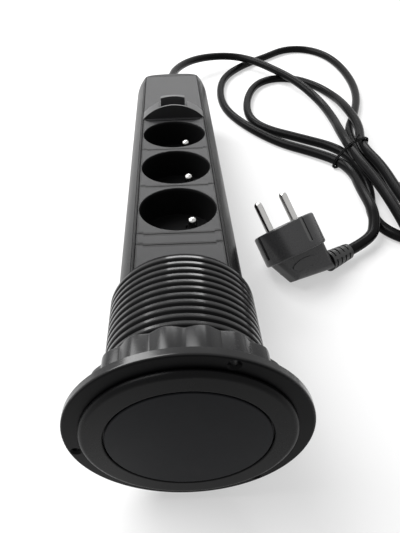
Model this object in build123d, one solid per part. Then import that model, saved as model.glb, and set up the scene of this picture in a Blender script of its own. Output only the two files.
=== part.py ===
from build123d import *
import math
import os

# Pop up desk socket, lying on a table as it comes out of its box, in millimetres.
# Every piece is drawn about the tower's own axis: +Y runs from the flange's front
# face to the cord end, +Z is square to the socket faces, and +X is to the right.
# At the end the whole tower is laid down on its flange rim and the edge of its end
# cap. The cord and the plug are placed straight on the table.

# Socket recess: the standard size that the tower is built round
recess_r = 19.75
recess_depth = 17.0
recess_lift = 3.1
recess_rim = 0.75
recess_space = 5.0
cup_wall = 1.45
cup_floor = 1.8
recess_edge_r = 0.4
pin_spacing = 19.0
contact_hole_r = 2.7
earth_offset = 10.0
earth_pin_r = 2.4
earth_pin_short = 1.5
earth_fit = 0.05
earth_collar_r = 3.6
earth_collar_t = 1.2
shutter_gap = 0.25
shutter_t = 1.5
shutter_w = 7.0
shutter_over = 3.2
block_h = 12.0
block_half = 15.2
block_front = 14.2
block_back = 8.0
guide_w = 1.8
contact_r = 3.5
contact_bore_r = 2.45
contact_slit = 0.8
contact_seat = 0.1
contact_len = 11.5
bar_t = 0.8
bar_w = 6.0
bar_x = 13.5
bar_over = 4.0
earth_bar_drop = 2.4

# Tower shell, and the face plates that lie edge to edge in its flat side
face_z = recess_lift + recess_depth
plate_half = recess_r + recess_rim
lip_gap = 0.3
lip_w = 0.656
lip_half = plate_half + lip_gap
lip_t = 1.7
groove_deep = 1.5
groove_h = 1.6
groove_half = lip_half + groove_deep
groove_top = face_z - lip_t
groove_bottom = groove_top - groove_h
tongue_gap = 0.2
tongue_half = groove_half - tongue_gap
tower_r = math.hypot(lip_half + lip_w, face_z)
shell_wall = 1.6
line_groove_r = 0.35
line_groove_half = tongue_half
slide_gap = 0.15
seam = 0.35
ear_w = 3.4
ear_step = 1.1
ledge_w = 0.8
ledge_half = groove_half - ledge_w
ledge_t = 1.2
strip_len = 8.6
first_seam = 95.75
sockets = 3
socket_pitch = recess_r * 2 + recess_space

# Desk collar: a flange and a threaded sleeve in one moulding
tower_gap = 0.6
bore_r = tower_r + tower_gap
sleeve_wall = 1.3
thread_deep = 1.1
root_r = bore_r + sleeve_wall
crest_r = root_r + thread_deep
flange_over = 12.6
flange_r = crest_r + flange_over
flange_t = 3.2
flange_edge_r = 0.9
sleeve_end = 65.4
thread_start = 5.2
thread_pitch = 3.68
crest_share = 0.3
screw_inset = 3.1
screw_circle_r = flange_r - screw_inset
screw_hole_r = 1.4
screw_sink_r = 2.3
screw_holes = 3
screw_turn_deg = 70.0

# Clamp nut and thrust washer
nut_wall = 4.6
nut_r = crest_r + nut_wall
nut_start = 9.2
nut_end = 20.3
nut_lobes = 18
flute_r = 5.0
flute_depth = 1.7
nut_edge_r = 0.5
thread_clearance = 0.3
washer_inset = 1.0
washer_r = nut_r - washer_inset
washer_t = 1.4
washer_gap = 0.2

# Cap: a raised ring that sits on the flange, and a disc let into it
disc_over = 0.3
disc_r = tower_r + disc_over
disc_gap = 0.6
disc_t = 1.3
disc_crown = 0.3
cap_rim = 9.3
cap_foot_r = disc_r + cap_rim
cap_height = 2.5
cap_shoulder_r = 2.3
cap_gap = 0.3
spigot_inset = 1.9
spigot_r = tower_r - spigot_inset
spigot_len = 11.0
spigot_wall = 3.0
seal_inset = 3.0
seal_r = cap_foot_r - seal_inset
seal_w = 1.6
seal_t = 0.9
seal_proud = 0.2

# Guide block and its sprung shoe
bar_end = first_seam + socket_pitch * sockets
block_gap = 2.55
block_start = bar_end + block_gap
block_len = 11.4
block_inset = 0.4
block_r = tower_r - block_inset
rib_t = 1.4
pocket_half = 9.8
shoe_half = 8.4
shoe_space = 3.3
shoe_start = block_start + block_len + shoe_space
shoe_land = 2.8
shoe_len = 15.0
shoe_over = 0.2
shoe_r = tower_r + shoe_over
shoe_gap = 0.2
shoe_depth = 13.0
shoe_travel = 2.5
well_wall = 1.5
spring_t = 0.5
spring_w = 8.0
spring_rise = 5.2

# End cap, gland, cord clamp and cores
lower_plate_over = 56.5
lower_plate_end = shoe_start + shoe_len + lower_plate_over
plate_lap = 12.0
shell_end = lower_plate_end - plate_lap
end_cap_len = 15.0
end_face = shell_end + end_cap_len
end_crown = 5.0
end_edge_r = 7.5
gland_seat_r = 9.0
gland_flange_r = 9.6
gland_flange_t = 2.0
gland_root_r = 7.4
gland_tip_r = 5.2
gland_len = 30.0
gland_neck_r = 6.0
rim_screw_r = 1.3
rim_screw_head_r = 2.2
rim_screw_len = 4.6
rim_screw_turns_deg = (-90.0, 5.0, 175.0)
hole_gap = 0.05
shelf_half = 25.5
shelf_len = 9.0
clamp_half = 11.5
clamp_len = 7.0
clamp_t = 3.0
clamp_screw_r = 1.5
clamp_screw_x = 8.2
clamp_head_r = 2.8
clamp_head_t = 1.8
core_r = 1.3
core_lap = 5.0
core_rise = 22.0
stub_over = 3.0

# Cord and its tie
cord_d = 7.2
run_share = 0.45
first_run = 25.2
last_run = 21.5
gap_step = 1.5
gap_reach = 40.0
tie_x = 140.5
tie_y = 81.0
tie_turn_deg = 31.8
tie_corners = ((-13.8, 5.35), (11.4, 5.35), (11.4, 13.2), (-3.0, 13.2))
tie_gap = 0.45
tie_t = 1.2
tie_w = 1.6

# Points of the cord's route, between the one in line with the gland and the one in
# line with the plug's boot. The cord arches down from the gland and is folded into a
# loose hank of five strands, which the tie draws together.
cord_route = [
    (7, 234, 23.4), (21, 263, 19.4), (41, 284, 15.4), (65, 293, 12.5), (86, 283, 11.8),
    (105, 256, 11.8), (125, 218, 11.8), (140.5, 182, 6.5), (142.5, 143, 7.5), (138, 106, 12.8),
    (139, 68, 13.2), (145, 30.5, 12.2), (146, -7.5, 12.2), (145.5, -40, 11.3),
    (143.5, -66, 4.6), (148, -88, 3.8), (165, -102, 3.8), (186, -102, 3.8), (202, -87, 3.8),
    (204, -65, 3.8), (189, -46, 9), (166, -31, 12.4), (156.5, -8, 11.9), (154.5, 20, 12),
    (154, 53, 13), (147.5, 85, 13.3), (157, 118.5, 12.6), (157, 157.5, 11.2),
    (157.5, 195.5, 5), (146, 227.5, 3.8), (125.5, 247, 3.8), (102.5, 247, 3.8), (84, 230, 3.8),
    (72, 195, 3.8), (69.5, 160, 3.8), (80, 136.5, 3.8), (107, 116.5, 4.4), (134.5, 95, 5.3),
    (143, 68, 5.3), (142, 36, 4.2), (134.5, 10, 3.8), (134.5, -7, 3.8), (144, -20, 3.8),
    (161, -29, 3.8), (183, -36, 3.8), (206, -35, 3.8), (225, -21, 3.8), (230, 2, 3.8),
    (218, 21, 3.8), (197, 27, 3.8), (178, 27, 3.8), (163, 36, 3.8), (154, 52, 4.4),
    (150, 69, 5.3), (148.5, 90, 5.3), (151, 126.5, 3.8), (167.5, 160.5, 3.8),
    (180, 196.5, 3.8), (185.5, 234, 3.8), (185, 273, 3.8), (179, 304, 3.8), (167, 324, 3.8),
    (149.5, 333, 3.8), (130, 329.5, 3.8), (108.5, 310, 3.8), (78.5, 287, 3.8), (56, 256, 3.8),
    (48, 218.5, 3.8), (49.5, 178.5, 3.8), (65, 143, 3.8), (88.5, 110.5, 3.8), (113, 91.5, 4.6),
    (130.5, 74, 5.4), (135.6, 54, 6), (132, 30, 9.6), (131.5, 4, 11.4),
    (129.6, -10.5, 9.2),
]

# Plug
plug_r = 18.6
plug_body_len = 19.0
plug_edge_r = 1.2
plug_heel_depth = 32.5
plug_toe_depth = 36.0
plug_back_half = 7.0
plug_back_slope = 9.0
plug_back_edge_r = 4.5
pad_x = -1.5
pad_depth = 25.5
pad_half = 9.5
pad_half_w = 3.2
pad_t = 0.5
slit_half = 3.4
slit_w = 1.0
slit_step = 3.0
plug_pin_r = 2.4
plug_pin_len = 19.0
plug_pin_root = 3.0
clip_w = 2.2
clip_t = 1.0
clip_len = 15.0
clip_depth = 1.6
boot_root_r = 6.4
boot_tip_r = 5.0
boot_len = 17.0
boot_ribs = 4
boot_slot_w = 1.1
boot_spine_half = 1.0
boot_depth = 31.0
plug_lean_deg = 40.0
plug_turn_deg = 30.7
plug_x = 62.4
plug_y = -33.0

overrun = 1.0

os.makedirs("parts", exist_ok=True)


def along(y, x=0, z=0):
    """A plane square to the tower at a place along it."""
    return Plane(origin=(x, y, z), x_dir=(1, 0, 0), z_dir=(0, 1, 0))


def rod(radius, start, end, x=0, z=0):
    """A round bar that runs along the tower."""
    return extrude(along(start, x, z) * Circle(radius), end - start)


def post(radius, x, y, low, high):
    """A round bar that stands square to the socket faces."""
    return Pos(x, y, low) * extrude(Circle(radius), high - low)


def block(x0, x1, y0, y1, z0, z1):
    """A rectangular block given by its two corners."""
    middle = Pos((x0 + x1) / 2, (y0 + y1) / 2, (z0 + z1) / 2)
    return middle * Box(x1 - x0, y1 - y0, z1 - z0)


def turned(points):
    """A solid turned about the tower's axis from (radius, y) points."""
    return revolve(make_face(Polyline(*points, close=True)), Axis.Y)


def below_flat(solid, level, room):
    """Cut away what stands over a level, as the tower's flat side does."""
    box = solid.bounding_box()
    return solid - block(box.min.X - room, box.max.X + room, box.min.Y - room,
                         box.max.Y + room, level, box.max.Z + room)


def thread_points():
    """The sleeve's outline with rounded ridges, as (radius, y) points."""
    half_crest = thread_pitch * crest_share / 2
    half_root = thread_pitch / 2
    points = []
    middle = thread_start + half_root
    while middle + half_root < sleeve_end:
        points.append((root_r, middle - half_root))
        points.append((crest_r, middle - half_crest))
        points.append((crest_r, middle + half_crest))
        middle += thread_pitch
    points.append((root_r, middle - half_root))
    return points


def make_collar():
    """Flange and threaded sleeve, with three countersunk holes."""
    outline = [(bore_r, 0), (flange_r, 0), (flange_r, flange_t), (root_r, flange_t)]
    outline += thread_points() + [(root_r, sleeve_end), (bore_r, sleeve_end)]
    collar = turned(outline)
    rim = collar.edges().filter_by(GeomType.CIRCLE).filter_by(
        lambda e: abs(e.radius - flange_r) < flange_edge_r)
    collar = fillet(rim.sort_by(Axis.Y)[0:1], flange_edge_r)
    for k in range(screw_holes):
        turn = math.radians(screw_turn_deg + 360 * k / screw_holes)
        x = screw_circle_r * math.cos(turn)
        z = screw_circle_r * math.sin(turn)
        collar -= rod(screw_hole_r, -overrun, flange_t + overrun, x, z)
        sink = Cone(screw_sink_r, screw_hole_r, screw_sink_r - screw_hole_r)
        lift = (screw_sink_r - screw_hole_r) / 2
        collar -= Location(along(lift, x, z)) * sink
    return collar


def make_nut():
    """Clamp nut: a ring with round flutes cut in its edge."""
    nut = extrude(along(nut_start) * Circle(nut_r), nut_end - nut_start)
    reach = nut_r + flute_r - flute_depth
    for k in range(nut_lobes):
        turn = math.radians(360 * (k + 0.5) / nut_lobes)
        nut -= rod(flute_r, nut_start - overrun, nut_end + overrun,
                   reach * math.cos(turn), reach * math.sin(turn))
    top = nut.faces().sort_by(Axis.Y)[-1]
    nut = fillet(top.edges(), nut_edge_r)
    nut -= rod(crest_r + thread_clearance, nut_start - overrun, nut_end + overrun)
    return nut


def make_washer():
    """Thrust washer between the nut and the underside of the desk."""
    end = nut_start - washer_gap
    ring = rod(washer_r, end - washer_t, end)
    return ring - rod(crest_r + thread_clearance, 0, nut_start)


def make_cap_ring():
    """Raised ring, its backing plate and the spigot that fits in the shell."""
    front = -cap_height
    pocket_r = disc_r + disc_gap
    pocket = front + disc_t
    outline = [(0, pocket), (pocket_r, pocket), (pocket_r, front),
               (cap_foot_r, front), (cap_foot_r, -cap_gap), (0, -cap_gap)]
    ring = turned(outline)
    shoulder = ring.edges().filter_by(GeomType.CIRCLE).filter_by(
        lambda e: abs(e.radius - cap_foot_r) < cap_gap)
    ring = fillet(shoulder.sort_by(Axis.Y)[0:1], min(cap_shoulder_r, cap_height - 2 * cap_gap))
    inner = ring.edges().filter_by(GeomType.CIRCLE).filter_by(
        lambda e: abs(e.radius - pocket_r) < disc_gap / 2)
    ring = chamfer(inner.sort_by(Axis.Y)[0:1], disc_gap / 2)
    spigot = rod(spigot_r, -cap_gap, spigot_len)
    spigot -= rod(spigot_r - spigot_wall, 0, spigot_len + overrun)
    spigot = below_flat(spigot, groove_bottom - cap_gap, overrun)
    ring += spigot
    groove = rod(seal_r + slide_gap, -cap_gap - seal_t, 0)
    groove -= rod(seal_r - seal_w - slide_gap, -cap_gap - seal_t, 0)
    ring -= groove
    return cut_rim_holes(ring, spigot_len / 2)


def make_cap_disc():
    """Disc let into the cap ring, very slightly crowned."""
    front = -cap_height
    back = front + disc_t
    edge = disc_gap / 2
    arc = ThreePointArc((0, front - disc_crown), (disc_r / 2, front - disc_crown * 3 / 4),
                        (disc_r - edge, front))
    sides = Polyline((disc_r - edge, front), (disc_r, front + edge), (disc_r, back),
                     (0, back), (0, front - disc_crown))
    return revolve(make_face(arc + sides), Axis.Y)


def make_cap_seal():
    """Rubber ring in the back of the cap ring, which closes on the flange."""
    back = seal_proud - cap_gap
    ring = rod(seal_r, -cap_gap - seal_t, back)
    return ring - rod(seal_r - seal_w, -cap_gap - seal_t - overrun, back + overrun)


def radial(piece, y, turn_deg):
    """Stand a piece drawn along +Z outwards from the tower's axis."""
    return Pos(0, y, 0) * Rot(0, 90 - turn_deg, 0) * piece


def rim_screw(gap):
    """A countersunk screw along +Z whose head ends just below the shell's face."""
    down = (Align.CENTER, Align.CENTER, Align.MAX)
    shank = Cylinder(rim_screw_r + gap, rim_screw_len, align=down)
    head = Cone(rim_screw_r + gap, rim_screw_head_r + gap, shell_wall * 2 / 3, align=down)
    return Pos(0, 0, tower_r - slide_gap) * (shank + head)


def make_rim_screws(y):
    """The screws that hold a cap's spigot in the shell."""
    return Compound(children=[radial(rim_screw(0), y, turn) for turn in rim_screw_turns_deg])


def cut_rim_holes(solid, y):
    """Cut the holes for the rim screws, open to the outside."""
    mouth = Pos(0, 0, tower_r - slide_gap) * Cylinder(
        rim_screw_head_r + hole_gap, overrun, align=(Align.CENTER, Align.CENTER, Align.MIN))
    for turn in rim_screw_turns_deg:
        solid -= radial(rim_screw(hole_gap) + mouth, y, turn)
    return solid


def make_shell():
    """Round shell with its flat side open, and a groove for the modules."""
    shell = rod(tower_r, -cap_gap, shell_end)
    shell -= rod(tower_r - shell_wall, -overrun, shell_end + overrun)
    for side in (-1, 1):
        ledge = block(min(side * ledge_half, side * tower_r), max(side * ledge_half, side * tower_r),
                      spigot_len + cap_gap, shell_end - spigot_len - cap_gap,
                      groove_bottom - ledge_t, groove_bottom)
        shell += ledge & rod(tower_r - shell_wall / 2, 0, shell_end)
    shell = below_flat(shell, face_z, overrun)
    shell -= block(-lip_half, lip_half, -overrun, shell_end + overrun, groove_top - slide_gap, tower_r)
    shell -= block(-groove_half, groove_half, -overrun, shell_end + overrun,
                   groove_bottom, groove_top)
    line_z = math.sqrt(tower_r ** 2 - line_groove_half ** 2)
    for side in (-1, 1):
        shell -= rod(line_groove_r, -overrun, shell_end + overrun, side * line_groove_half, line_z)
    shell = cut_rim_holes(shell, spigot_len / 2)
    return cut_rim_holes(shell, shell_end - spigot_len / 2)


def make_plate(start, end, tongue_end, step_start=ear_step, step_end=ear_step):
    """Face plate, stepped near the shell's lips, with tongues for the shell's groove."""
    low = groove_top - slide_gap
    inner = plate_half - ear_w
    first = start + seam / 2
    last = end - seam / 2
    plate = block(-inner, inner, first, last, low, face_z)
    for side in (-1, 1):
        plate += block(min(side * inner, side * plate_half), max(side * inner, side * plate_half),
                       first + step_start, last + step_end, low, face_z)
    return plate + block(-tongue_half, tongue_half, first + step_start, tongue_end - seam / 2,
                         groove_bottom + slide_gap, low)


def socket_y(number):
    """Where a socket's centre is, counted from the cord end."""
    return first_seam + socket_pitch * (sockets - number + 0.5)


recess_floor = face_z - recess_depth
cup_bottom = recess_floor - cup_floor
shutter_top = cup_bottom - shutter_gap
block_top = shutter_top - shutter_t - shutter_gap
block_bottom = block_top - block_h
half_root = math.sqrt(0.5)
contact_x = pin_spacing / 2 * half_root
earth_x = earth_offset * half_root


def make_socket_module(number):
    """Plate and recess cup in one moulding, with its three holes."""
    y = socket_y(number)
    end = y + socket_pitch / 2
    module = make_plate(y - socket_pitch / 2, end, end)
    module += post(recess_r + cup_wall, 0, y, cup_bottom, groove_top)
    module -= post(recess_r, 0, y, recess_floor, face_z + overrun)
    mouth = module.edges().filter_by(GeomType.CIRCLE).filter_by(
        lambda e: abs(e.radius - recess_r) < recess_edge_r and e.center().Z > groove_top)
    module = fillet(mouth, recess_edge_r)
    for side in (-1, 1):
        module -= post(contact_hole_r, side * contact_x, y + side * contact_x,
                       cup_bottom - overrun, recess_floor + overrun)
    module -= post(earth_pin_r + earth_fit, earth_x, y - earth_x, cup_bottom - overrun,
                   recess_floor + overrun)
    return module


def make_earth_pin(number):
    """Earth pin with a domed head, held by a collar under the cup's floor."""
    y = socket_y(number)
    tip = face_z - earth_pin_short
    foot = block_bottom - earth_bar_drop
    pin = post(earth_pin_r, earth_x, y - earth_x, foot, tip - earth_pin_r)
    pin += Pos(earth_x, y - earth_x, tip - earth_pin_r) * Sphere(earth_pin_r)
    return pin + post(earth_collar_r, earth_x, y - earth_x, block_top - earth_collar_t, block_top)


def make_carrier(number):
    """Block behind a socket that holds the contacts and guides the shutter."""
    y = socket_y(number)
    body = block(-block_half, block_half, -block_front, block_back, block_bottom, block_top)
    for side in (-1, 1):
        inner = side * (pin_spacing / 2 + shutter_over + slide_gap)
        outer = inner + side * guide_w
        body += block(min(inner, outer), max(inner, outer), -block_front, block_back,
                      block_top, cup_bottom)
        body -= post(contact_r + contact_seat, side * pin_spacing / 2, 0,
                     block_bottom - overrun, block_top + overrun)
    body -= post(earth_pin_r + earth_fit, 0, -earth_offset, block_bottom - overrun, block_top)
    body -= post(earth_collar_r + earth_fit, 0, -earth_offset,
                 block_top - earth_collar_t - earth_fit, block_top + overrun)
    return Pos(0, y, 0) * Rot(0, 0, 45) * body


def make_contact(number, side):
    """Slit brass sleeve that grips a plug pin, with a tab to its busbar."""
    y = socket_y(number)
    top = block_top - contact_seat
    low = top - contact_len
    sleeve = post(contact_r, side * contact_x, y + side * contact_x, low, top)
    tab = block(min(side * contact_x, side * bar_x), max(side * contact_x, side * bar_x),
                y + side * contact_x - bar_w / 2, y + side * contact_x + bar_w / 2,
                block_bottom - bar_t - contact_seat, block_bottom - contact_seat)
    neck = post(contact_r, side * contact_x, y + side * contact_x,
                block_bottom - contact_seat - bar_t, low)
    sleeve = sleeve + neck + tab
    sleeve -= post(contact_bore_r, side * contact_x, y + side * contact_x,
                   low, top + overrun)
    slit = block(side * contact_x - contact_slit / 2, side * contact_x + contact_slit / 2,
                 y + side * contact_x, y + side * contact_x + contact_r + overrun,
                 low + contact_bore_r, top + overrun)
    return sleeve - slit


def make_shutter(number):
    """Slider that covers both contact holes until a plug moves it."""
    half = pin_spacing / 2 + shutter_over
    bar = block(-half, half, -shutter_w / 2, shutter_w / 2, shutter_top - shutter_t, shutter_top)
    return Pos(0, socket_y(number), 0) * Rot(0, 0, 45) * bar


bar_top = block_bottom - contact_seat - bar_t
earth_bar_top = block_bottom - earth_bar_drop


def make_busbar(side):
    """Brass strip that joins the contacts of one pole."""
    start = socket_y(sockets) + side * contact_x - bar_over
    x = side * bar_x
    return block(x - bar_w / 2, x + bar_w / 2, start, bar_end, bar_top - bar_t, bar_top)


def make_earth_bar():
    """Brass strip that joins the earth pins."""
    start = socket_y(sockets) - earth_x - bar_over
    return block(earth_x - bar_w / 2, earth_x + bar_w / 2, start, bar_end,
                 earth_bar_top - bar_t, earth_bar_top)


def make_lower_plate():
    """Lower plate with the guide block, and the well in which the shoe runs."""
    plate = make_plate(bar_end, lower_plate_end, shell_end, step_end=0)
    arch = rod(block_r, block_start, block_start + block_len)
    arch -= block(-tower_r, tower_r, block_start - overrun, block_start + block_len + overrun,
                  -tower_r, face_z)
    arch -= block(-pocket_half, pocket_half, block_start + rib_t,
                  block_start + block_len + overrun, face_z, tower_r)
    plate += arch
    shoe_end = shoe_start + shoe_len
    well_low = face_z - shoe_depth - shoe_travel - spring_rise
    plate += block(-shoe_half - shoe_gap - well_wall, shoe_half + shoe_gap + well_wall,
                   shoe_start - shoe_gap - well_wall, shoe_end + shoe_gap + well_wall,
                   well_low, groove_top)
    plate -= block(-shoe_half - shoe_gap, shoe_half + shoe_gap, shoe_start - shoe_gap,
                   shoe_end + shoe_gap, well_low + well_wall, tower_r)
    return plate


def make_shoe():
    """Sprung shoe that rubs on the collar's bore and keeps the tower where it is."""
    low = face_z - shoe_depth
    end = shoe_start + shoe_len
    side = Polyline((shoe_start, low), (shoe_start, shoe_r), (shoe_start + shoe_land, shoe_r),
                    (end, face_z), (end, low), close=True)
    shoe = extrude(Plane.YZ * make_face(side), shoe_half, both=True)
    return shoe & rod(shoe_r, shoe_start - overrun, end + overrun)


def make_shoe_spring():
    """Arched leaf spring under the shoe."""
    low = face_z - shoe_depth - shoe_travel - spring_rise + well_wall
    high = face_z - shoe_depth
    start = shoe_start + shoe_gap
    end = shoe_start + shoe_len - shoe_gap
    middle = (start + end) / 2
    outer = ThreePointArc((start, low), (middle, high), (end, low))
    inner = ThreePointArc((end - spring_t, low), (middle, high - spring_t), (start + spring_t, low))
    ends = Line((end, low), (end - spring_t, low)) + Line((start + spring_t, low), (start, low))
    face = Plane.YZ * make_face(outer + inner + ends)
    return extrude(face, spring_w / 2, both=True)


clamp_y = shell_end - spigot_len / 2
cap_tip = end_face + end_crown


def make_end_cap():
    """Rounded cap that closes the cord end, with a spigot and a shelf for the cord clamp."""
    dome = ThreePointArc((tower_r, end_face), (tower_r / 2, cap_tip - end_crown / 4), (0, cap_tip))
    sides = Polyline((0, cap_tip), (0, shell_end), (tower_r, shell_end), (tower_r, end_face))
    cap = revolve(make_face(dome + sides), Axis.Y)
    edge = cap.edges().filter_by(GeomType.CIRCLE).filter_by(
        lambda e: e.radius > tower_r - seam and e.center().Y > end_face - seam)
    cap = fillet(edge, end_edge_r)
    cap = below_flat(cap, face_z, overrun)
    cap -= block(-lip_half, lip_half, shell_end - overrun, lower_plate_end + seam / 2,
                 groove_bottom, face_z + overrun)
    cap += below_flat(rod(spigot_r, shell_end - spigot_len, shell_end), groove_bottom - cap_gap, overrun)
    hollow = rod(spigot_r - spigot_wall, shell_end - spigot_len - overrun, end_face - spigot_wall)
    cap -= below_flat(hollow, groove_bottom - spigot_wall, overrun)
    cap += block(-shelf_half, shelf_half, clamp_y - shelf_len / 2, clamp_y + shelf_len / 2,
                 -cord_d / 2 - clamp_t - slide_gap, -cord_d / 2 - slide_gap)
    for side in (-1, 1):
        cap -= post(clamp_screw_r + hole_gap, side * clamp_screw_x, clamp_y, -tower_r / 2, 0)
    cap -= rod(gland_neck_r + slide_gap, end_face - spigot_wall - overrun, cap_tip + overrun)
    cap -= rod(gland_seat_r, end_face, cap_tip + overrun)
    return cut_rim_holes(cap, shell_end - spigot_len / 2)


def make_cord_clamp():
    """Bar that holds the cord down on its shelf."""
    low = cord_d / 2 + slide_gap
    start = clamp_y - clamp_len / 2
    end = clamp_y + clamp_len / 2
    bar = block(-clamp_half, clamp_half, start, end, low, low + clamp_t)
    for side in (-1, 1):
        inner = side * (cord_d / 2 + slide_gap)
        bar += block(min(inner, side * clamp_half), max(inner, side * clamp_half), start, end,
                     -cord_d / 2, low)
        bar -= post(clamp_screw_r + hole_gap, side * clamp_screw_x, clamp_y, -cord_d,
                    low + clamp_t + overrun)
    return bar


def make_clamp_screws():
    """Two screws through the clamp bar into the shelf."""
    top = cord_d / 2 + slide_gap + clamp_t
    low = -cord_d / 2 - clamp_t - slide_gap
    screws = []
    for side in (-1, 1):
        shank = post(clamp_screw_r, side * clamp_screw_x, clamp_y, low, top)
        head = post(clamp_head_r, side * clamp_screw_x, clamp_y, top, top + clamp_head_t)
        screws.append(shank + head)
    return Compound(children=screws)


gland_tip = cap_tip + gland_len
stub_start = clamp_y - clamp_len / 2 - stub_over


def make_gland():
    """Tapered rubber gland, with a flange behind the end cap's wall."""
    bore = cord_d / 2 + slide_gap
    inner = end_face - spigot_wall
    seat = gland_seat_r - slide_gap
    return turned([(bore, inner - gland_flange_t), (gland_flange_r, inner - gland_flange_t),
                   (gland_flange_r, inner), (gland_neck_r, inner), (gland_neck_r, end_face),
                   (seat, end_face), (seat, cap_tip), (gland_root_r, cap_tip),
                   (gland_tip_r, gland_tip), (bore, gland_tip)])


def make_inner_cord():
    """The cord's sheath from the gland's tip to the clamp inside."""
    return rod(cord_d / 2, stub_start, gland_tip)


def tube(points, radii, radius):
    """A round tube along straight runs joined by tangent arcs."""
    path = FilletPolyline(*points, radius=radii)
    start = Plane(origin=path @ 0, z_dir=path % 0)
    return sweep(start * Circle(radius), path=path)


def corner_radii(points):
    """The largest arc that the two runs beside each corner leave room for."""
    radii = []
    for before, corner, after in zip(points, points[1:], points[2:]):
        turn = math.radians((corner - before).get_angle(after - corner))
        run = min((corner - before).length, (after - corner).length)
        radii.append(run_share * run / math.tan(turn / 2))
    return radii


def least_gap(path):
    """The least room between two stretches of the cord that aren't neighbours."""
    count = math.floor(path.length / gap_step)
    places = [gap_step * k for k in range(count + 1)]
    spots = [tuple(spot) for spot in path.positions(places, PositionMode.LENGTH)]
    skip = round(gap_reach / gap_step)
    return min(math.dist(spots[i], spots[j])
               for i in range(count) for j in range(i + skip, count + 1)) - cord_d


def make_mains_cord(points):
    """The free cord, from the gland's tip to the plug's boot."""
    radii = corner_radii(points)
    path = FilletPolyline(*points, radius=radii)
    cord = tube(points, radii, cord_d / 2)
    print("cord radii", [round(radius) for radius in radii])
    print("cord length", path.length, "volume share",
          cord.volume / (math.pi * cord_d ** 2 / 4 * path.length))
    print("cord low", cord.bounding_box().min.Z, "least gap", least_gap(path))
    return cord


def make_tie():
    """Thin band drawn round the strands of the hank."""
    shape = Polygon(*tie_corners, align=None)
    inside = offset(shape, cord_d / 2 + tie_gap)
    band = offset(shape, cord_d / 2 + tie_gap + tie_t) - inside
    ring = extrude(band, tie_w / 2, both=True)
    return Pos(tie_x, tie_y, 0) * Rot(0, 0, tie_turn_deg) * Rot(90, 0, 0) * ring


def make_inner_cores():
    """Line, neutral and earth cores from the cut sheath to their busbars."""
    cores = []
    places = ((bar_x, bar_top), (-bar_x, bar_top), (earth_x, earth_bar_top))
    shifts = (core_r + slide_gap, -core_r - slide_gap, 0)
    rises = (0, 0, core_r * 2 + slide_gap)
    for (x, top), shift, rise in zip(places, shifts, rises):
        low = top + core_r + slide_gap
        start = (shift, stub_start, rise - core_r)
        leave = (shift, stub_start - core_lap, rise - core_r)
        land = (x, bar_end + core_rise, low)
        end = (x, bar_end - core_lap, low)
        cores.append(tube([start, leave, land, end], [core_r * 3, core_r * 3], core_r))
    return Compound(children=cores)


def make_plug_body():
    """Round plug front with four grooves, and the wedge behind it that the cord leaves sideways."""
    front = extrude(Circle(plug_r), -plug_body_len)
    front = fillet(front.edges(), plug_edge_r)
    wedge = Polyline((-plug_r + plug_edge_r, -plug_body_len + plug_edge_r),
                     (-plug_r + plug_back_slope, -plug_heel_depth),
                     (plug_r, -plug_toe_depth), (plug_r, -plug_body_len + plug_edge_r), close=True)
    back = extrude(Plane.XZ * make_face(wedge), plug_back_half, both=True)
    rim = back.edges().filter_by(Axis.Y, reverse=True).filter_by(
        lambda e: e.center().Z < -plug_body_len)
    back = fillet(rim, plug_back_edge_r)
    body = front + back
    for side in (-1, 1):
        body -= post(plug_pin_r + hole_gap, side * pin_spacing / 2, 0, -plug_pin_root, overrun)
        face = Plane(origin=(pad_x, side * plug_back_half, -pad_depth), x_dir=(1, 0, 0),
                     z_dir=(0, side, 0))
        body += extrude(face * Ellipse(pad_half, pad_half_w), pad_t)
        slit = Pos(pad_x, side * (plug_back_half + pad_t), -pad_depth - slit_step)
        body -= slit * Box(slit_half * 2, pad_t * 2, slit_w)
    low = plug_r - clip_depth
    for turn in (0, 90, 180, 270):
        body -= Rot(0, 0, turn) * block(low, plug_r * 2, -clip_w / 2 - slide_gap,
                                        clip_w / 2 + slide_gap, -clip_len, overrun)
    return body


def make_plug_pins():
    """Two round contact pins with domed ends."""
    pins = []
    for side in (-1, 1):
        x = side * pin_spacing / 2
        pin = post(plug_pin_r, x, 0, -plug_pin_root, plug_pin_len - plug_pin_r)
        pins.append(pin + Pos(x, 0, plug_pin_len - plug_pin_r) * Sphere(plug_pin_r))
    return Compound(children=pins)


def make_earth_clips():
    """Two side strips that touch the socket's earth."""
    clips = []
    for side in (-1, 1):
        inner = side * (plug_r - clip_depth)
        outer = inner + side * clip_t
        clips.append(block(-clip_w / 2, clip_w / 2, min(inner, outer), max(inner, outer),
                           -clip_len, 0))
    return Compound(children=clips)


def make_plug_boot():
    """Ribbed strain relief on the plug, tapered towards the cord."""
    step = boot_len / (boot_ribs * 2 + 1)
    fall = (boot_root_r - boot_tip_r) / boot_len
    points = [(0, 0), (0, boot_root_r)]
    for k in range(boot_ribs):
        start = step * (2 * k + 1)
        high = boot_root_r - fall * start
        end = start + boot_slot_w
        points += [(start, high), (start, high - boot_slot_w), (end, high - boot_slot_w),
                   (end, boot_root_r - fall * end)]
    points += [(boot_len, boot_tip_r), (boot_len, 0)]
    boot = revolve(make_face(Polyline(*points, close=True)), Axis.X)
    cone = Polyline((0, 0), (0, boot_root_r), (boot_len, boot_tip_r), (boot_len, 0), close=True)
    boot += revolve(make_face(cone), Axis.X) & block(
        0, boot_len, -boot_root_r, boot_root_r, -boot_spine_half, boot_spine_half)
    return Pos(plug_r, 0, -boot_depth) * boot


# The tower lies on the flange's rim and on the rounded edge of its end cap.
rest_reach = end_face - flange_t
rest_rise = flange_r - tower_r + end_edge_r
rest_length = math.hypot(rest_reach, rest_rise)
tilt_deg = math.degrees(math.acos(end_edge_r / rest_length) - math.atan2(rest_reach, rest_rise))

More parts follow.
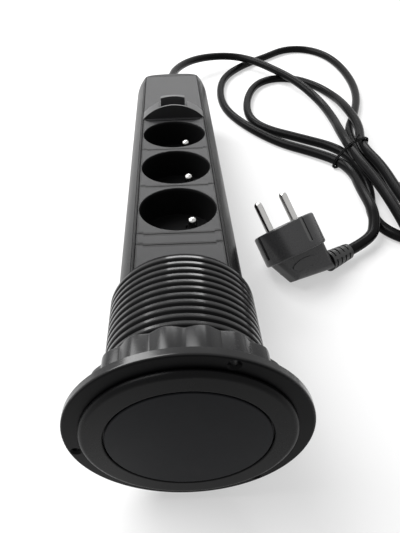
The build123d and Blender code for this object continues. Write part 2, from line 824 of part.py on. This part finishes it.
pieces = {
    "desk_collar": make_collar(),
    "clamp_nut": make_nut(),
    "clamp_washer": make_washer(),
    "cap_ring": make_cap_ring(),
    "cap_disc": make_cap_disc(),
    "cap_seal": make_cap_seal(),
    "cap_screws": make_rim_screws(spigot_len / 2),
    "tower_shell": make_shell(),
    "head_plate": make_plate(0, first_seam - strip_len, first_seam - strip_len),
    "spacer_strip": make_plate(first_seam - strip_len, first_seam, first_seam),
    "lower_plate": make_lower_plate(),
    "brake_shoe": make_shoe(),
    "shoe_spring": make_shoe_spring(),
    "line_bar": make_busbar(1),
    "neutral_bar": make_busbar(-1),
    "earth_bar": make_earth_bar(),
    "end_cap": make_end_cap(),
    "end_cap_screws": make_rim_screws(shell_end - spigot_len / 2),
    "cord_clamp": make_cord_clamp(),
    "clamp_screws": make_clamp_screws(),
    "cord_gland": make_gland(),
    "inner_cord": make_inner_cord(),
    "inner_cores": make_inner_cores(),
}
for number in range(1, sockets + 1):
    pieces[f"socket_module_{number}"] = make_socket_module(number)
    pieces[f"earth_pin_{number}"] = make_earth_pin(number)
    pieces[f"contact_block_{number}"] = make_carrier(number)
    pieces[f"line_contact_{number}"] = make_contact(number, 1)
    pieces[f"neutral_contact_{number}"] = make_contact(number, -1)
    pieces[f"shutter_{number}"] = make_shutter(number)

tilted = {name: Rot(-tilt_deg, 0, 0) * piece for name, piece in pieces.items()}
boxes = [piece.bounding_box() for piece in tilted.values()]
middle_y = (min(b.min.Y for b in boxes) + max(b.max.Y for b in boxes)) / 2
floor_z = min(b.min.Z for b in boxes)
lay = Pos(0, -middle_y, -floor_z) * Rot(-tilt_deg, 0, 0)
laid = {name: lay * piece for name, piece in pieces.items()}
print("tilt", tilt_deg, "middle", middle_y, "floor", floor_z)

# The plug lies on the edge of its round front and on the end of its back.
stand = Rot(0, 0, plug_turn_deg) * Rot(plug_lean_deg - 90, 0, 0)
place = Pos(plug_x, plug_y, -(stand * make_plug_body()).bounding_box().min.Z) * stand
laid["plug_body"] = place * make_plug_body()
laid["plug_pins"] = place * make_plug_pins()
laid["plug_earth_clips"] = place * make_earth_clips()
laid["plug_boot"] = place * make_plug_boot()

route = [(lay * Pos(0, gland_tip + run, 0)).position for run in (0, first_run)]
route += [Vector(*point) for point in cord_route]
route += [(place * Pos(plug_r + boot_len + run, 0, -boot_depth)).position for run in (last_run, 0)]
laid["mains_cord"] = make_mains_cord(route)
laid["cord_tie"] = make_tie()
print("cord ends", route[0], route[1], route[-2], route[-1])

for name, piece in laid.items():
    export_step(piece, f"parts/{name}.step")
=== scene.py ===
import math

import bpy
import numpy as np
from mathutils import Matrix, Vector


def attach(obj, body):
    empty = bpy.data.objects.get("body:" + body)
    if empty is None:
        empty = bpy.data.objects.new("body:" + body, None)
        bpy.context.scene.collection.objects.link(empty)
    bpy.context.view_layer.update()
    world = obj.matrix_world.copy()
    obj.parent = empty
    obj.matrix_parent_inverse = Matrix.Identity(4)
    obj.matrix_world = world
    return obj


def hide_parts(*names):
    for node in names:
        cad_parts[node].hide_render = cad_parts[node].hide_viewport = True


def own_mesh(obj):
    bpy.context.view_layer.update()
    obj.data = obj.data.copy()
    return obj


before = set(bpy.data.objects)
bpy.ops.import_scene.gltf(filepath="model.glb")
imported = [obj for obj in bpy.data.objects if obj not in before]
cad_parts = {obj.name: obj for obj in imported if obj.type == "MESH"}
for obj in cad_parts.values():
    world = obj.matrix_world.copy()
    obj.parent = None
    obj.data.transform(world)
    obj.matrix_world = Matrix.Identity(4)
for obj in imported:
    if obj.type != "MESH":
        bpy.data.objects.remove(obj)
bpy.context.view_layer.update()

# Camera
# It looks down on the collar's flange from the near end, a little left of the middle,
# so that the tower runs away from it. The lens is slightly wide.
eye = Vector((-0.00202, -0.2559, 0.19936))
right = Vector((0.99927, -0.02605, -0.02803))
up = Vector((0.03822, 0.71415, 0.69895))
back = Vector((0.00181, -0.69951, 0.71462))
camera = bpy.data.objects.new("camera", bpy.data.cameras.new("camera"))
camera.data.sensor_fit = "VERTICAL"
camera.data.sensor_height = 36.0
camera.data.lens = 31.6
camera.data.shift_x = 0.0442
camera.data.shift_y = 0.0526
camera.data.clip_start = 0.01
camera_turn = Matrix((right, up, back)).transposed().to_4x4()
camera.matrix_world = Matrix.Translation(eye) @ camera_turn
bpy.context.scene.collection.objects.link(camera)
bpy.context.scene.camera = camera

# Mains cord
# A round black sheath of soft plastic, 7.2 mm thick. It arches down out of the gland
# and is folded into a loose hank of five strands before it goes into the plug's boot.


class Value:
    """What comes out of a node's socket. Arithmetic on a number adds Math nodes."""

    def __init__(self, finish, socket):
        self.finish = finish
        self.socket = socket

    def __add__(self, other):
        return self.finish.maths("ADD", self, other)

    def __radd__(self, other):
        return self.finish.maths("ADD", other, self)

    def __sub__(self, other):
        return self.finish.maths("SUBTRACT", self, other)

    def __rsub__(self, other):
        return self.finish.maths("SUBTRACT", other, self)

    def __mul__(self, other):
        return self.finish.maths("MULTIPLY", self, other)

    def __rmul__(self, other):
        return self.finish.maths("MULTIPLY", other, self)

    def __truediv__(self, other):
        return self.finish.maths("DIVIDE", self, other)

    def __rtruediv__(self, other):
        return self.finish.maths("DIVIDE", other, self)

    def __pow__(self, other):
        return self.finish.maths("POWER", self, other)

    def __rpow__(self, other):
        return self.finish.maths("POWER", other, self)

    def __abs__(self):
        return self.finish.maths("ABSOLUTE", self, 0.0)


class Finish:
    """A material with one Principled shader, and nodes that expressions add to it."""

    def __init__(self, name, settings):
        self.material = bpy.data.materials.new(name)
        self.material.use_nodes = True
        self.tree = self.material.node_tree
        self.shader = self.tree.nodes["Principled BSDF"]
        self.feed(self.shader, settings)

    def feed(self, node, values):
        """Set a node's sockets, or link values to them."""
        for name, value in values.items():
            if isinstance(value, Value):
                self.tree.links.new(value.socket, node.inputs[name])
            else:
                node.inputs[name].default_value = value

    def add(self, kind, settings, sockets, output=0):
        """Add a node and return the output that is asked for, or several by name."""
        node = self.tree.nodes.new(kind)
        for name, value in settings.items():
            if name == "stops":
                for stop, (place, level) in zip(node.color_ramp.elements, value):
                    stop.position = place
                    stop.color = (level, level, level, 1)
            else:
                setattr(node, name, value)
        self.feed(node, sockets)
        if isinstance(output, tuple):
            return [Value(self, node.outputs[name]) for name in output]
        return Value(self, node.outputs[output])

    def maths(self, operation, first, second):
        return self.add("ShaderNodeMath", {"operation": operation}, {0: first, 1: second})

    def place(self):
        return self.add("ShaderNodeTexCoord", {}, {}, "Object")

    def noise(self, scale, detail=3.0, roughness=0.55):
        return self.add("ShaderNodeTexNoise", {}, {
            "Vector": self.place(), "Scale": scale, "Detail": detail,
            "Roughness": roughness})

    def rise(self, value, low, high, top=1.0):
        """0 up to the low value, then an even rise to the top level at the high one."""
        return self.add("ShaderNodeValToRGB", {"stops": [(0.0, 0.0), (1.0, top)]},
                        {"Fac": (value - low) / (high - low)})

    def mix(self, share, first, second):
        return self.add("ShaderNodeMix", {"data_type": "RGBA"}, {
            0: share, 6: first, 7: second}, 2)

    def bump(self, height, distance, strength=1.0, under=None):
        sockets = {"Height": height, "Distance": distance, "Strength": strength}
        if under is not None:
            sockets["Normal"] = under
        return self.add("ShaderNodeBump", {}, sockets)

    def rounded(self, radius):
        return self.add("ShaderNodeBevel", {"samples": 4}, {"Radius": radius})


def tint(colour, factor, lift=0.0):
    """A colour made lighter or darker by a factor, and lifted a little."""
    return tuple(c * factor + lift for c in colour[:3]) + (1,)


def moulded(name, colour, roughness, grain, depth, edge=0.0, level=0.5, shade=None):
    """Moulded plastic: a fine spark-eroded grain, broad changes of gloss, and light rubs.

    The grain is a noise scale and depth its height. The edge is the radius that corners
    look rounded by, level the strength of the shine, and shade a mask of painted shade.
    """
    finish = Finish(name, {"Specular IOR Level": level})
    broad = finish.noise(38.0)
    fine = finish.noise(grain, 4.0, 0.6)
    rub = finish.rise(finish.noise(150.0, 5.0, 0.7), 0.52, 0.72)
    tone = finish.mix(broad, tint(colour, 0.82), tint(colour, 1.2, 0.0005))
    # Painted shade: where the mask lies, the colour is mixed towards near black.
    if shade is not None:
        tone = finish.mix(shade(finish), tone, (0.0008, 0.0008, 0.0009, 1))
    under = finish.rounded(edge) if edge else None
    finish.feed(finish.shader, {
        "Base Color": tone,
        "Roughness": roughness + (broad - 0.5) * 0.1 + (fine - 0.5) * 0.08 - rub * 0.04,
        "Normal": finish.bump(fine, depth, under=under)})
    return finish.material


def round_line(name, steps_round, steps_along):
    """A curve whose strands are round, each as thick as its own points say."""
    curve = bpy.data.curves.new(name, "CURVE")
    curve.dimensions = "3D"
    curve.bevel_depth = 1.0
    curve.bevel_resolution = steps_round
    curve.resolution_u = steps_along
    curve.use_fill_caps = True
    return curve


def add_strand(curve, points, radius, closed=False):
    """A smooth strand, a NURBS line of order 3, drawn by points given in metres."""
    strand = curve.splines.new("NURBS")
    strand.points.add(len(points) - 1)
    with_weights = np.column_stack([points, np.ones(len(points))])
    strand.points.foreach_set("co", with_weights.reshape(-1))
    strand.points.foreach_set("radius", np.full(len(points), radius))
    strand.order_u = 3
    strand.use_cyclic_u = closed
    strand.use_endpoint_u = not closed


def add_object(name, data, body, *nodes):
    """Link a new piece, let it ride on its body, and hide the nodes that it stands for."""
    piece = bpy.data.objects.new(name, data)
    bpy.context.scene.collection.objects.link(piece)
    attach(piece, body)
    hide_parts(*nodes)
    return piece


cord_radius = 0.0036
cord_points = np.array([
    (0, 179.817, 27.659), (0, 204.987, 26.424), (7, 234, 23.4), (21, 263, 19.4),
    (41, 284, 15.4), (65, 293, 12.5), (86, 283, 11.8), (105, 256, 11.8), (125, 218, 11.8),
    (140.5, 182, 6.5), (142.5, 143, 7.5), (138, 106, 12.8), (139, 68, 13.2),
    (145, 30.5, 12.2), (146, -7.5, 12.2), (145.5, -40, 11.3), (143.5, -66, 4.6),
    (148, -88, 3.8), (165, -102, 3.8), (186, -102, 3.8), (202, -87, 3.8), (204, -65, 3.8),
    (189, -46, 9), (166, -31, 12.4), (156.5, -8, 11.9), (154.5, 20, 12), (154, 53, 13),
    (147.5, 85, 13.3), (157, 118.5, 12.6), (157, 157.5, 11.2), (157.5, 195.5, 5),
    (146, 227.5, 3.8), (125.5, 247, 3.8), (102.5, 247, 3.8), (84, 230, 3.8),
    (72, 195, 3.8), (69.5, 160, 3.8), (80, 136.5, 3.8), (107, 116.5, 4.4),
    (134.5, 95, 5.3), (143, 68, 5.3), (142, 36, 4.2), (134.5, 10, 3.8), (134.5, -7, 3.8),
    (144, -20, 3.8), (161, -29, 3.8), (183, -36, 3.8), (206, -35, 3.8), (225, -21, 3.8),
    (230, 2, 3.8), (218, 21, 3.8), (197, 27, 3.8), (178, 27, 3.8), (163, 36, 3.8),
    (154, 52, 4.4), (150, 69, 5.3), (148.5, 90, 5.3), (151, 126.5, 3.8),
    (167.5, 160.5, 3.8), (180, 196.5, 3.8), (185.5, 234, 3.8), (185, 273, 3.8),
    (179, 304, 3.8), (167, 324, 3.8), (149.5, 333, 3.8), (130, 329.5, 3.8),
    (108.5, 310, 3.8), (78.5, 287, 3.8), (56, 256, 3.8), (48, 218.5, 3.8),
    (49.5, 178.5, 3.8), (65, 143, 3.8), (88.5, 110.5, 3.8), (113, 91.5, 4.6),
    (130.5, 74, 5.4), (135.6, 54, 6), (132, 30, 9.6), (131.5, 4, 11.4),
    (129.6, -10.5, 9.2), (123.622, -24.267, 6.609), (105.135, -35.244, 6.609),
]) / 1000
cord_line = round_line("cord", 7, 8)
add_strand(cord_line, cord_points, cord_radius)
sheath = moulded("soft sheath", (0.005, 0.005, 0.0052), roughness=0.24, grain=900.0,
                 depth=0.00001, level=0.04)
cord_line.materials.append(sheath)
cord = add_object("cord", cord_line, "tower", "mains_cord")

# Cord tie
# Two turns of thin wire with a black coat like the cord's. It is drawn round the five
# strands and its ends are twisted together above them.
tie_wire_radius = 0.0006
tail_wire_radius = 0.0004
tie_middle = (0.1405, 0.081)
tie_turn = math.radians(31.8)
tie_outline = np.array([
    (-18.2, 1.4), (-18.4, 5.0), (-17.0, 8.8), (-12.0, 13.0), (-5.2, 17.2), (-1.0, 17.9),
    (6.0, 17.9), (12.2, 17.8), (15.6, 16.4), (16.1, 12.6), (16.1, 6.2), (15.6, 2.0),
    (12.0, 0.8), (0.0, 0.7), (-14.0, 0.7)])


def tie_place(across, height, over):
    """Places on the tie's plane, in millimetres, moved over it along the strands."""
    return np.stack([
        tie_middle[0] + (across * math.cos(tie_turn) - over * math.sin(tie_turn)) / 1000,
        tie_middle[1] + (across * math.sin(tie_turn) + over * math.cos(tie_turn)) / 1000,
        height / 1000], -1)


tie_line = round_line("tie_wire", 4, 6)
for over in (-0.6, 0.6):
    add_strand(tie_line, tie_place(tie_outline[:, 0], tie_outline[:, 1], over),
               tie_wire_radius, closed=True)
# The tail is two wires that wind round each other at a small radius, along an arc that
# starts 2 mm across and 18.5 mm up, and runs 9 mm across and 4 mm over the strands.
tail_points = 26
tail_step = 1.25
tail_winding = 0.42
tail_run = np.linspace(0, 1, tail_points)
for phase in (0.0, math.pi):
    wind = np.arange(tail_points) * tail_step + phase
    add_strand(tie_line, tie_place(
        2.0 + 9.0 * tail_run,
        18.5 + 1.8 * np.sin(tail_run * math.pi) + tail_winding * np.sin(wind),
        0.4 + 4.0 * tail_run + tail_winding * np.cos(wind)), tail_wire_radius)
tie_line.materials.append(sheath)
tie = add_object("tie_wire", tie_line, "tower", "cord_tie")

# Desk collar
# Flange and threaded sleeve in one moulding of black glass-filled nylon. The thread's
# crests and the flange's rim shine more than the rest, which a coat gives them.
tilt = math.radians(2.8086271910324285)
middle_y = 0.1757549847501744
axis_z = 0.04510291397125443


def tower_place(finish):
    """Distance from the tower's middle plane, place along it and height over its axis.

    The tower lies on the table with a tilt, which these undo. All three are in
    millimetres.
    """
    x, y, z = finish.add("ShaderNodeSeparateXYZ", {}, {0: finish.place()}, ("X", "Y", "Z"))
    y = y + middle_y
    z = z - axis_z
    along = (y * math.cos(tilt) - z * math.sin(tilt)) * 1000
    height = (y * math.sin(tilt) + z * math.cos(tilt)) * 1000
    return abs(x) * 1000, along, height


def dress(material, *nodes):
    """Give carried-over CAD nodes one material."""
    for name in nodes:
        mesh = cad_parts[name].data
        mesh.materials.clear()
        mesh.materials.append(material)


collar = Finish("collar black", {"Specular IOR Level": 0.05, "Coat Roughness": 0.16})
across, along, height = tower_place(collar)
from_axis = (across * across + height * height) ** 0.5
patch = collar.noise(60.0, 4.0)
grain = collar.noise(1200.0, 3.0)
past_flange = collar.rise(along, 3.4, 4.0)
crest = collar.rise(from_axis, 31.92, 32.28, 0.8)
flange_rim = collar.rise(from_axis, 44.6, 45.0, 0.7)
collar.feed(collar.shader, {
    "Base Color": collar.mix(patch, (0.0018, 0.0018, 0.002, 1), (0.0035, 0.0035, 0.0038, 1)),
    "Coat Weight": past_flange * crest + flange_rim,
    "Roughness": 0.3 + patch * 0.15,
    "Normal": collar.bump(grain, 0.000008, 0.6, collar.rounded(0.0003))})
dress(collar.material, "desk_collar")

# Clamp nut
# A black nylon ring that is turned by hand, with smooth round lobes round its edge and
# rounded rims. Its surface is a grid over the turn and a closed outline.
nut_outer = 0.037
nut_bore = 0.0327
nut_low = 0.0092
nut_high = 0.0203
lobe_depth = 0.0017
lobe_sharpness = 0.7
lobes = 18
turn_steps = 720
rim = 0.0008


def lay_down(x, y, z):
    """Points in the tower's own frame, in metres, as they lie on the table."""
    return np.stack([x, y * math.cos(tilt) + z * math.sin(tilt) - middle_y,
                     -y * math.sin(tilt) + z * math.cos(tilt) + axis_z], -1)


def closed_surface(name, grid):
    """A mesh from a numpy grid of points that closes on itself both ways.

    Each face joins a point to the next in its row, the next in its column and the one
    across, and the last row and column join the first.
    """
    rows, columns = grid.shape[:2]
    row = np.arange(rows)[:, None]
    column = np.arange(columns)[None, :]
    next_row = (row + 1) % rows
    next_column = (column + 1) % columns
    corners = [row * columns + column, next_row * columns + column,
               next_row * columns + next_column, row * columns + next_column]
    faces = np.stack(corners, -1).reshape(-1, 4)
    mesh = bpy.data.meshes.new(name)
    mesh.vertices.add(rows * columns)
    mesh.vertices.foreach_set("co", grid.reshape(-1))
    mesh.loops.add(faces.size)
    mesh.loops.foreach_set("vertex_index", faces.reshape(-1))
    mesh.polygons.add(len(faces))
    mesh.polygons.foreach_set("loop_start", np.arange(len(faces)) * 4)
    mesh.update(calc_edges=True)
    mesh.polygons.foreach_set("use_smooth", np.ones(len(faces), bool))
    return mesh


# The outline goes out along the lower face, round both rims and back along the upper
# face. Reach is the share of the wall from bore to edge, and climb the height over the
# lower face. Between lobes the edge draws in by a power of a cosine of the turn.
nut_wall = nut_outer - nut_bore
nut_height = nut_high - nut_low
corner = np.linspace(0, math.pi / 2, 7)
reach = np.concatenate([[0, 0.35, 0.7], 1 - rim / nut_wall * (1 - np.sin(corner)),
                        1 - rim / nut_wall * (1 - np.cos(corner)), [0.7, 0.35, 0]])
climb = np.concatenate([[0, 0, 0], rim * (1 - np.cos(corner)),
                        nut_height - rim + rim * np.sin(corner), [nut_height] * 3])
nut_turn = np.arange(turn_steps) * 2 * math.pi / turn_steps
wave = (0.5 + 0.5 * np.cos(lobes * nut_turn)) ** lobe_sharpness
edge = nut_outer - lobe_depth * (1 - wave)
radius = nut_bore + reach[:, None] * (edge - nut_bore)[None, :]
nut_grid = lay_down(radius * np.cos(nut_turn),
                    np.repeat((nut_low + climb)[:, None], turn_steps, 1),
                    radius * np.sin(nut_turn))
nut_mesh = closed_surface("clamp_nut_lobed", nut_grid)
nut_mesh.materials.append(moulded(
    "nut black", (0.012, 0.012, 0.0125), roughness=0.26, grain=700.0, depth=0.00001,
    level=0.24))
add_object("clamp_nut_lobed", nut_mesh, "nut", "clamp_nut")

# Clamp washer
# Thrust washer of plain black nylon, stamped from sheet and smooth, so that the nut
# slips on it and the desk isn't scratched.
dress(moulded("washer black", (0.008, 0.008, 0.008), roughness=0.4, grain=1200.0,
              depth=0.00002, edge=0.0002), "clamp_washer")

# Cap ring
# Raised ring with a rounded shoulder, moulded in satin black plastic. Three screws
# hold its spigot in the shell.
dress(moulded("cap black", (0.0032, 0.0032, 0.0035), roughness=0.3, grain=1300.0,
              depth=0.00001, edge=0.0006, level=0.07), "cap_ring")

# Cap disc
# Flush disc pressed into the ring, in a very slightly bluish black that is finer in
# grain than the ring.
dress(moulded("disc black", (0.0062, 0.0066, 0.008), roughness=0.42, grain=1700.0,
              depth=0.00001, edge=0.00025, level=0.06), "cap_disc")

# Cap seal and cord gland
# Soft black rubber with a dull skin. The seal lies in the back of the cap ring. The
# gland sits in the end cap's wall, with a flange behind it.
dress(moulded("soft rubber", (0.009, 0.009, 0.009), roughness=0.6, grain=1100.0,
              depth=0.00004, edge=0.0002, level=0.4), "cap_seal", "cord_gland")

# Tower shell
# Dark grey satin extrusion with a fine line groove beside each lip. The face plates
# slide into it from the end.
grey = (0.024, 0.024, 0.025)
dress(moulded("shell grey", tint(grey, 0.3), roughness=0.3, grain=1500.0, depth=0.00001,
              edge=0.0005, level=0.05), "tower_shell")

# Head plate, spacer strip and socket modules
# Dark grey plates that lie edge to edge, with tongues that run in the shell's groove.
# Each socket has a recess cup moulded behind it. Its inside gets painted shade that takes
# the colour nearly to black, and thin lines of painted shade lie on the seams and lips.
face_height = 20.1
first_seam = 95.75
seam_pitch = 44.5
strip_seam = 87.15
jog_start = 17.1
jog = 1.1
lip = 20.65


def line_at(finish, value, place, width):
    """1 on a thin line where the value meets a place, and 0 away from it."""
    return 1 - finish.rise(abs(value - place), 0.5 * width, 0.95 * width)


def painted_face_shade(finish):
    """Painted shade: dark inside the recesses, and thin dark lines where two plates meet and
    along the lips.

    Places are in millimetres, along the tower from the flange's face and out from its
    axis. Near the lips, each seam jogs a little away from the cap.
    """
    across, along, height = tower_place(finish)
    # Painted shade inside each recess cup, rising from 0.2 mm to 2 mm below the face.
    painted_recess_shade = finish.rise(face_height - height, 0.2, 2.0, 0.9)
    along = along - finish.maths("GREATER_THAN", across, jog_start) * jog
    wrapped = finish.maths("FLOORED_MODULO", along - first_seam + seam_pitch / 2, seam_pitch)
    marks = painted_recess_shade
    # Thin lines of painted shade on the seams between plates, on the strip's seam and along
    # the lips.
    for line in (line_at(finish, wrapped, seam_pitch / 2, 2.0),
                 line_at(finish, along, strip_seam, 2.0), line_at(finish, across, lip, 1.3)):
        marks = finish.maths("MAXIMUM", marks, line)
    return marks


# The plates' colour goes nearly black where this painted shade lies.
plate_grey = moulded("plate grey", grey, roughness=0.4, grain=1500.0, depth=0.00002,
                     edge=0.0003, level=0.14, shade=painted_face_shade)
dress(plate_grey, "head_plate", "spacer_strip", "socket_module_1", "socket_module_2",
      "socket_module_3")

# Lower plate with the guide block
# The same grey plastic, in one moulding with the round block that fills the bore. The
# block's round top runs in the collar and is smoother, which a coat gives it.
block = Finish("block grey", {"Specular IOR Level": 0.2, "Coat Roughness": 0.4})
across, along, height = tower_place(block)
patch = block.noise(38.0)
grain = block.noise(1500.0, 4.0)
round_top = (block.rise((across * across + height * height) ** 0.5, 28.65, 28.95)
             * block.rise(height, 20.3, 20.5))
block.feed(block.shader, {
    "Base Color": block.mix(patch, tint(grey, 0.85), tint(grey, 1.15)),
    "Coat Weight": round_top * 0.45,
    "Roughness": 0.38 + (grain - 0.5) * 0.08 - round_top * 0.04,
    "Normal": block.bump(grain, 0.00002, 1.0, block.rounded(0.0004))})
dress(block.material, "lower_plate")

# Brake shoe and its spring
# The shoe is slippery semi gloss plastic. The leaf under it is an arch of spring steel,
# stamped from strip. In the real part it flattens as the shoe goes in; here it is built at
# rest.
dress(moulded("shoe black", (0.06, 0.06, 0.062), roughness=0.4, grain=900.0,
              depth=0.00001, edge=0.0005, level=0.4), "brake_shoe")


def metal(name, colour, roughness, streak, edge=0.00015):
    """Bare or plated metal with fine drawing marks, whose noise scale is the streak."""
    finish = Finish(name, {"Metallic": 1.0})
    marks = finish.noise(streak, 5.0, 0.65)
    finish.feed(finish.shader, {
        "Base Color": finish.mix(marks, tint(colour, 0.9), tint(colour, 1.0)),
        "Roughness": roughness + (marks - 0.5) * 0.12,
        "Normal": finish.bump(marks, 0.000004, 1.0, finish.rounded(edge))})
    return finish.material


leaf_low = 0.0009
leaf_rise = 0.0062
leaf_thick = 0.0005
leaf_half = 0.004
leaf_start = 0.2467
leaf_end = 0.2613
leaf_steps = 48
leaf_play = 0.0001
leaf_middle = (leaf_start + leaf_end) / 2
# An arch: its height falls with the square of the distance from its middle.
run = np.linspace(-1, 1, leaf_steps + 1)
arch_y = leaf_middle + run * (leaf_end - leaf_start) / 2
arch_z = leaf_low + leaf_thick / 2 + (leaf_rise - leaf_thick - leaf_play) * (1 - run ** 2)
arch = np.stack([lay_down(np.full(leaf_steps + 1, side * leaf_half), arch_y, arch_z)
                 for side in (-1, 1)], 1).reshape(-1, 3)
first = 2 * np.arange(leaf_steps)
strips = np.stack([first, first + 1, first + 3, first + 2], -1)
leaf_mesh = bpy.data.meshes.new("shoe_leaf_spring")
leaf_mesh.from_pydata(arch.tolist(), [], strips.tolist())
leaf_mesh.polygons.foreach_set("use_smooth", np.ones(leaf_steps, bool))
leaf_mesh.materials.append(metal("spring steel", (0.55, 0.55, 0.57), 0.25, 900.0))
leaf = add_object("shoe_leaf_spring", leaf_mesh, "tower", "shoe_spring")
thick = leaf.modifiers.new("thickness", "SOLIDIFY")
thick.thickness = leaf_thick
thick.offset = 0
foot = lay_down(0.0, leaf_middle, leaf_low)
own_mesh(leaf)

# End cap
# Rounded cap moulded in the same grey. It closes the cord end and is held in the shell
# by three small screws.
dress(moulded("end cap grey", tint(grey, 0.8), roughness=0.34, grain=1500.0,
              depth=0.00002, edge=0.0004, level=0.12), "end_cap")

# Screws
# Small countersunk screws, three for each cap, and two with round heads on the cord
# clamp. All are steel with bright zinc plating.
dress(metal("zinc", (0.6, 0.6, 0.61), 0.28, 1400.0),
      "cap_screws", "end_cap_screws", "clamp_screws")

# Earth pins
# Brass pins, nickel plated and polished, with a domed head that catches the light.
# Each is held by a collar under the floor of its recess.
nickel = metal("nickel", (0.5, 0.495, 0.485), 0.18, 1600.0, 0.0006)
dress(nickel, "earth_pin_1", "earth_pin_2", "earth_pin_3")

# Contacts and busbars
# Plain brass, stamped from strip. The sleeves grip a plug's pins and sit on the line
# and neutral bars.
brass = metal("brass", (0.66, 0.47, 0.2), 0.3, 1100.0)
dress(brass, "line_bar", "neutral_bar", "earth_bar")
for number in (1, 2, 3):
    dress(brass, f"line_contact_{number}", f"neutral_contact_{number}")

# Contact carriers and cord clamp
# Natural nylon, moulded and left in its own pale colour. The carriers hold the contact
# sleeves behind the sockets, and the clamp holds the cord.
nylon = moulded("nylon", (0.5, 0.5, 0.48), roughness=0.5, grain=900.0, depth=0.00002)
dress(nylon, "cord_clamp", "contact_block_1", "contact_block_2", "contact_block_3")

# Shutters
# Small sliders of black plastic between the sockets and the carriers. They are dark, so
# that they don't show through the contact holes.
dress(moulded("shutter black", (0.006, 0.006, 0.006), roughness=0.45, grain=900.0,
              depth=0.00002), "shutter_1", "shutter_2", "shutter_3")

# Inner cord and cores
# The sheath goes on through the gland to the clamp, and three insulated cores leave it
# inside for the bars.
dress(sheath, "inner_cord")
dress(moulded("core brown", (0.16, 0.06, 0.03), roughness=0.35, grain=900.0,
              depth=0.00001), "inner_cores")

# Plug body
# Hard black moulding, satin, with four grooves along its round front and, on each side
# of its wedge-shaped back, a raised pad with a slit.
dress(moulded("plug black", (0.03, 0.03, 0.031), roughness=0.28, grain=1200.0,
              depth=0.00002, edge=0.0005, level=0.4), "plug_body")

# Plug pins
# Two round brass pins with domed ends, nickel plated. They are moulded into the
# plug's front.
dress(nickel, "plug_pins")

# Plug earth clips
# Narrow strips of darkened spring metal, let into two of the grooves, which touch the
# earth of a socket with side contacts.
dress(metal("dark nickel", (0.1, 0.1, 0.1), 0.35, 900.0), "plug_earth_clips")

# Plug boot
# Softer black plastic moulded onto the cord, with two rows of slots that let it bend
# and a solid spine between them.
dress(moulded("boot black", (0.014, 0.014, 0.014), roughness=0.36, grain=900.0,
              depth=0.00003, edge=0.0003), "plug_boot")

# Floor and backdrop
# A plain white table top that the camera and glossy pieces see as nearly white, with
# soft shadows left on it. It isn't part of the object.
background_rays = ("Is Camera Ray", "Is Glossy Ray", "Is Transmission Ray")
table_half = 2.5
table = Finish("white table", {"Base Color": (0.86, 0.86, 0.86, 1), "Roughness": 0.7,
                               "Specular IOR Level": 0.2})
seen, shiny, through = table.add("ShaderNodeLightPath", {}, {}, background_rays)
lit = Value(table, table.shader.outputs["BSDF"])
glow = table.add("ShaderNodeEmission", {}, {"Strength": 1.0})
table.feed(table.tree.nodes["Material Output"], {"Surface": table.add(
    "ShaderNodeMixShader", {}, {0: (seen + shiny + through) * 0.5, 1: lit, 2: glow})})
table_mesh = bpy.data.meshes.new("table_top")
table_mesh.from_pydata([(-table_half, -table_half, 0), (table_half, -table_half, 0),
                        (table_half, table_half, 0), (-table_half, table_half, 0)],
                       [], [(0, 1, 2, 3)])
table_mesh.materials.append(table.material)
table_top = bpy.data.objects.new("table_top", table_mesh)
bpy.context.scene.collection.objects.link(table_top)

# Studio light
# One broad lamp high on the left, a strip beyond the tower that draws the highlights
# along ridges and rails, and a pale surround. The camera and gloss see it as white.
sky_strength = 0.24


def lamp(name, place, target, width, height, power):
    """A flat lamp that faces a point of the table."""
    light = bpy.data.lights.new(name, "AREA")
    light.shape = "RECTANGLE"
    light.size = width
    light.size_y = height
    light.energy = power
    light_object = bpy.data.objects.new(name, light)
    light_object.location = place
    aim = Vector(target) - Vector(place)
    light_object.rotation_euler = aim.to_track_quat("-Z", "Y").to_euler()
    bpy.context.scene.collection.objects.link(light_object)


class Surround(Finish):
    """The world's nodes, which expressions add to in the same way."""

    def __init__(self, world):
        self.tree = world.node_tree


lamp("lamp_left", place=(-0.8, 0.35, 1.05), target=(0.03, 0.0, 0.0),
     width=1.1, height=1.1, power=36.0)
lamp("lamp_far", place=(0.1, 1.1, 0.8), target=(0.0, 0.0, 0.03),
     width=0.9, height=0.3, power=8.0)
world = bpy.data.worlds.new("surround")
world.use_nodes = True
bpy.context.scene.world = world
surround = Surround(world)
white = (1, 1, 1, 1)
sky = surround.add("ShaderNodeBackground", {}, {"Color": white, "Strength": sky_strength})
backdrop = surround.add("ShaderNodeBackground", {}, {"Color": white, "Strength": 1.0})
seen, shiny, through = surround.add("ShaderNodeLightPath", {}, {}, background_rays)
surround.feed(world.node_tree.nodes["World Output"], {"Surface": surround.add(
    "ShaderNodeMixShader", {}, {0: seen + shiny + through, 1: sky, 2: backdrop})})
bpy.context.scene.view_settings.view_transform = "Standard"
